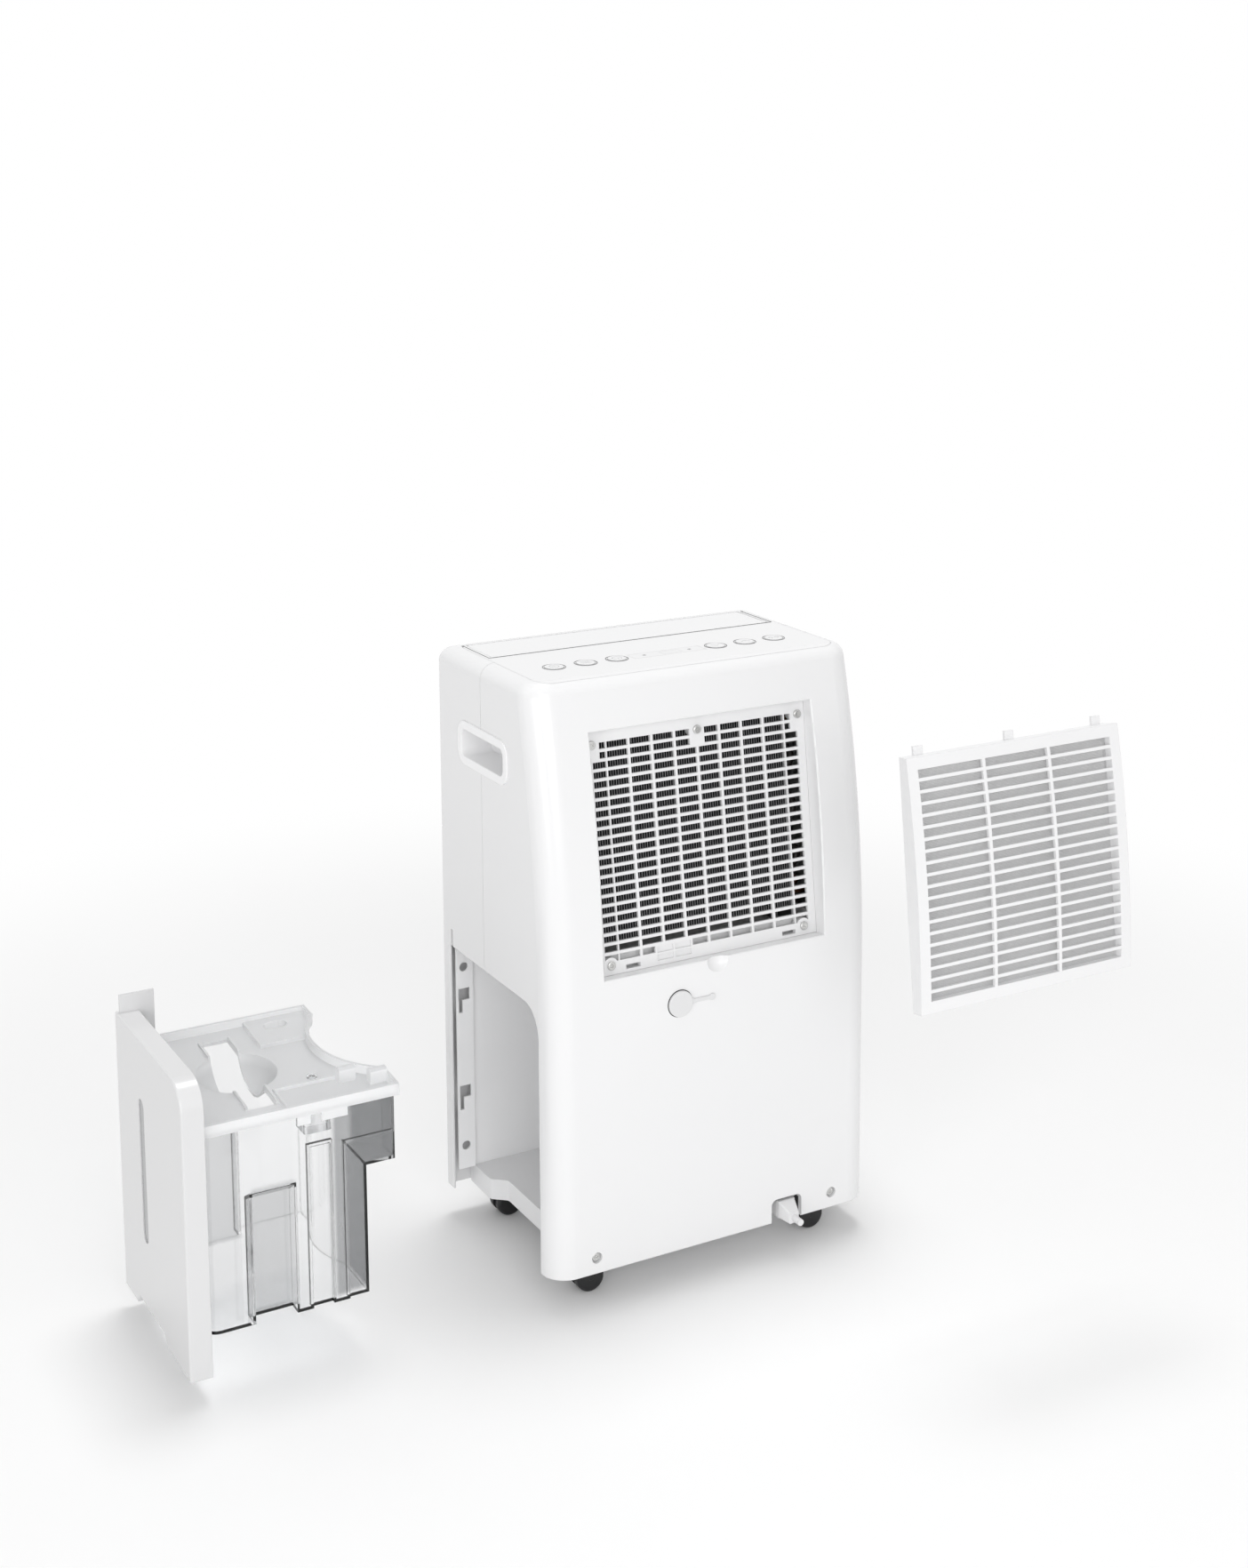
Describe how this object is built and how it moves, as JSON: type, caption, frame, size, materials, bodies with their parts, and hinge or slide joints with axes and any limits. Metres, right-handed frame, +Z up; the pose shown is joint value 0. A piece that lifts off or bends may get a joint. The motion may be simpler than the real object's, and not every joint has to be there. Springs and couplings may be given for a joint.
{
  "type": "dehumidifier",
  "caption": "Upright portable dehumidifier on casters, shown for cleaning with its clear water tank drawn out sideways and its slotted air filter off the back.",
  "frame": {"origin": "on the floor under the middle of the body", "axes": "+X towards the side that the tank leaves by, +Y towards the back with the air inlet, +Z up"},
  "size_m": [0.8236, 0.4435, 0.5848],
  "materials": {
    "casing_plastic": "smooth white",
    "button_plastic": "smooth white",
    "display_lens": "clear",
    "circuit_board": "satin",
    "grille_plastic": "satin white",
    "screw_steel": "plated",
    "net_fabric": "woven",
    "fin_aluminium": "mill",
    "copper": "drawn",
    "compressor_paint": "satin black",
    "pump_iron": "cast",
    "grommet_rubber": "matte",
    "fan_plastic": "satin",
    "shaft_steel": "ground",
    "motor_paint": "satin",
    "inner_plastic": "satin grey",
    "reed_plastic": "satin",
    "plug_rubber": "matte",
    "tank_clear": "clear",
    "lid_frosted": "frosted",
    "float_clear": "clear",
    "lead_sheath": "matte",
    "caster_plastic": "satin black"
  },
  "bodies": {
    "casing": {"front_shell": "casing_plastic", "back_shell": "casing_plastic", "top_cover": "casing_plastic", "display_window": "display_lens", "control_board": "circuit_board", "hand_hold_tank_side": "casing_plastic", "hand_hold_far_side": "casing_plastic", "intake_grille": "grille_plastic", "grille_screws": "screw_steel", "shell_screws": "screw_steel", "evaporator_fins": "fin_aluminium", "evaporator_tube": "copper", "condenser_fins": "fin_aluminium", "condenser_tube": "copper", "compressor": "compressor_paint", "compressor_pump": "pump_iron", "compressor_grommets": "grommet_rubber", "accumulator": "copper", "discharge_pipe": "copper", "suction_pipe": "copper", "capillary_tube": "copper", "fan_scroll": "inner_plastic", "fan_motor": "motor_paint", "base_pan": "inner_plastic", "tank_bay_liner": "inner_plastic", "drip_tray": "inner_plastic", "drain_spigot": "inner_plastic", "drain_strap": "plug_rubber", "reed_switch": "reed_plastic", "strain_relief": "lead_sheath", "lead_stub": "lead_sheath", "relay_box": "inner_plastic", "run_capacitor": "fin_aluminium"},
    "louver": {"louver_flap": "casing_plastic"},
    "button_1": {"button_1": "button_plastic"},
    "button_2": {"button_2": "button_plastic"},
    "button_3": {"button_3": "button_plastic"},
    "button_4": {"button_4": "button_plastic"},
    "button_5": {"button_5": "button_plastic"},
    "button_6": {"button_6": "button_plastic"},
    "filter": {"filter_frame": "grille_plastic", "filter_net": "net_fabric"},
    "fan": {"fan_wheel": "fan_plastic", "fan_shaft": "shaft_steel"},
    "plug": {"drain_plug": "plug_rubber"},
    "tank": {"tank_body": "tank_clear", "tank_lid": "lid_frosted", "tank_panel": "casing_plastic", "level_window": "tank_clear"},
    "float": {"tank_float": "float_clear"},
    "caster_back_left": {"caster_fork_back_left": "caster_plastic"},
    "wheels_back_left": {"caster_wheels_back_left": "caster_plastic"},
    "caster_back_right": {"caster_fork_back_right": "caster_plastic"},
    "wheels_back_right": {"caster_wheels_back_right": "caster_plastic"},
    "caster_front_left": {"caster_fork_front_left": "caster_plastic"},
    "wheels_front_left": {"caster_wheels_front_left": "caster_plastic"},
    "caster_front_right": {"caster_fork_front_right": "caster_plastic"},
    "wheels_front_right": {"caster_wheels_front_right": "caster_plastic"}
  },
  "joints": [
    {"name": "tank_slide", "type": "slide", "parent": "casing", "child": "tank", "axis": [-1, 0, 0], "range_m": [0, 0.332]},
    {"name": "float_rise", "type": "slide", "parent": "tank", "child": "float", "axis": [0, 0, 1], "range_m": [0, 0.015]},
    {"name": "filter_slide", "type": "slide", "parent": "casing", "child": "filter", "axis": [0.6877, -0.726, 0], "range_m": [0, 0.28789]},
    {"name": "louver_tilt", "type": "hinge", "parent": "casing", "child": "louver", "pos_m": [0, -0.045, 0.5785], "axis": [-1, 0, 0], "range_deg": [0, 75]},
    {"name": "fan_spin", "type": "hinge", "parent": "casing", "child": "fan", "pos_m": [0, -0.06, 0.428], "axis": [0, 1, 0], "continuous": true},
    {"name": "plug_pull", "type": "slide", "parent": "casing", "child": "plug", "axis": [0, 1, 0], "range_m": [0, 0.016]},
    {"name": "button_1_press", "type": "slide", "parent": "casing", "child": "button_1", "axis": [0, 0, -1], "range_m": [0, 0.0012], "stiffness_N_per_m": 800},
    {"name": "button_2_press", "type": "slide", "parent": "casing", "child": "button_2", "axis": [0, 0, -1], "range_m": [0, 0.0012], "stiffness_N_per_m": 800},
    {"name": "button_3_press", "type": "slide", "parent": "casing", "child": "button_3", "axis": [0, 0, -1], "range_m": [0, 0.0012], "stiffness_N_per_m": 800},
    {"name": "button_4_press", "type": "slide", "parent": "casing", "child": "button_4", "axis": [0, 0, -1], "range_m": [0, 0.0012], "stiffness_N_per_m": 800},
    {"name": "button_5_press", "type": "slide", "parent": "casing", "child": "button_5", "axis": [0, 0, -1], "range_m": [0, 0.0012], "stiffness_N_per_m": 800},
    {"name": "button_6_press", "type": "slide", "parent": "casing", "child": "button_6", "axis": [0, 0, -1], "range_m": [0, 0.0012], "stiffness_N_per_m": 800},
    {"name": "swivel_back_left", "type": "hinge", "parent": "casing", "child": "caster_back_left", "pos_m": [0.129, 0.0815, 0.03], "axis": [0, 0, 1], "continuous": true},
    {"name": "roll_back_left", "type": "hinge", "parent": "caster_back_left", "child": "wheels_back_left", "pos_m": [0.123, 0.0815, 0.014], "axis": [0, 1, 0], "continuous": true},
    {"name": "swivel_back_right", "type": "hinge", "parent": "casing", "child": "caster_back_right", "pos_m": [-0.129, 0.0815, 0.03], "axis": [0, 0, 1], "continuous": true},
    {"name": "roll_back_right", "type": "hinge", "parent": "caster_back_right", "child": "wheels_back_right", "pos_m": [-0.123, 0.0815, 0.014], "axis": [0, 1, 0], "continuous": true},
    {"name": "swivel_front_left", "type": "hinge", "parent": "casing", "child": "caster_front_left", "pos_m": [0.129, -0.0895, 0.03], "axis": [0, 0, 1], "continuous": true},
    {"name": "roll_front_left", "type": "hinge", "parent": "caster_front_left", "child": "wheels_front_left", "pos_m": [0.123, -0.0895, 0.014], "axis": [0, 1, 0], "continuous": true},
    {"name": "swivel_front_right", "type": "hinge", "parent": "casing", "child": "caster_front_right", "pos_m": [-0.129, -0.0895, 0.03], "axis": [0, 0, 1], "continuous": true},
    {"name": "roll_front_right", "type": "hinge", "parent": "caster_front_right", "child": "wheels_front_right", "pos_m": [-0.123, -0.0895, 0.014], "axis": [0, 1, 0], "continuous": true}
  ]
}
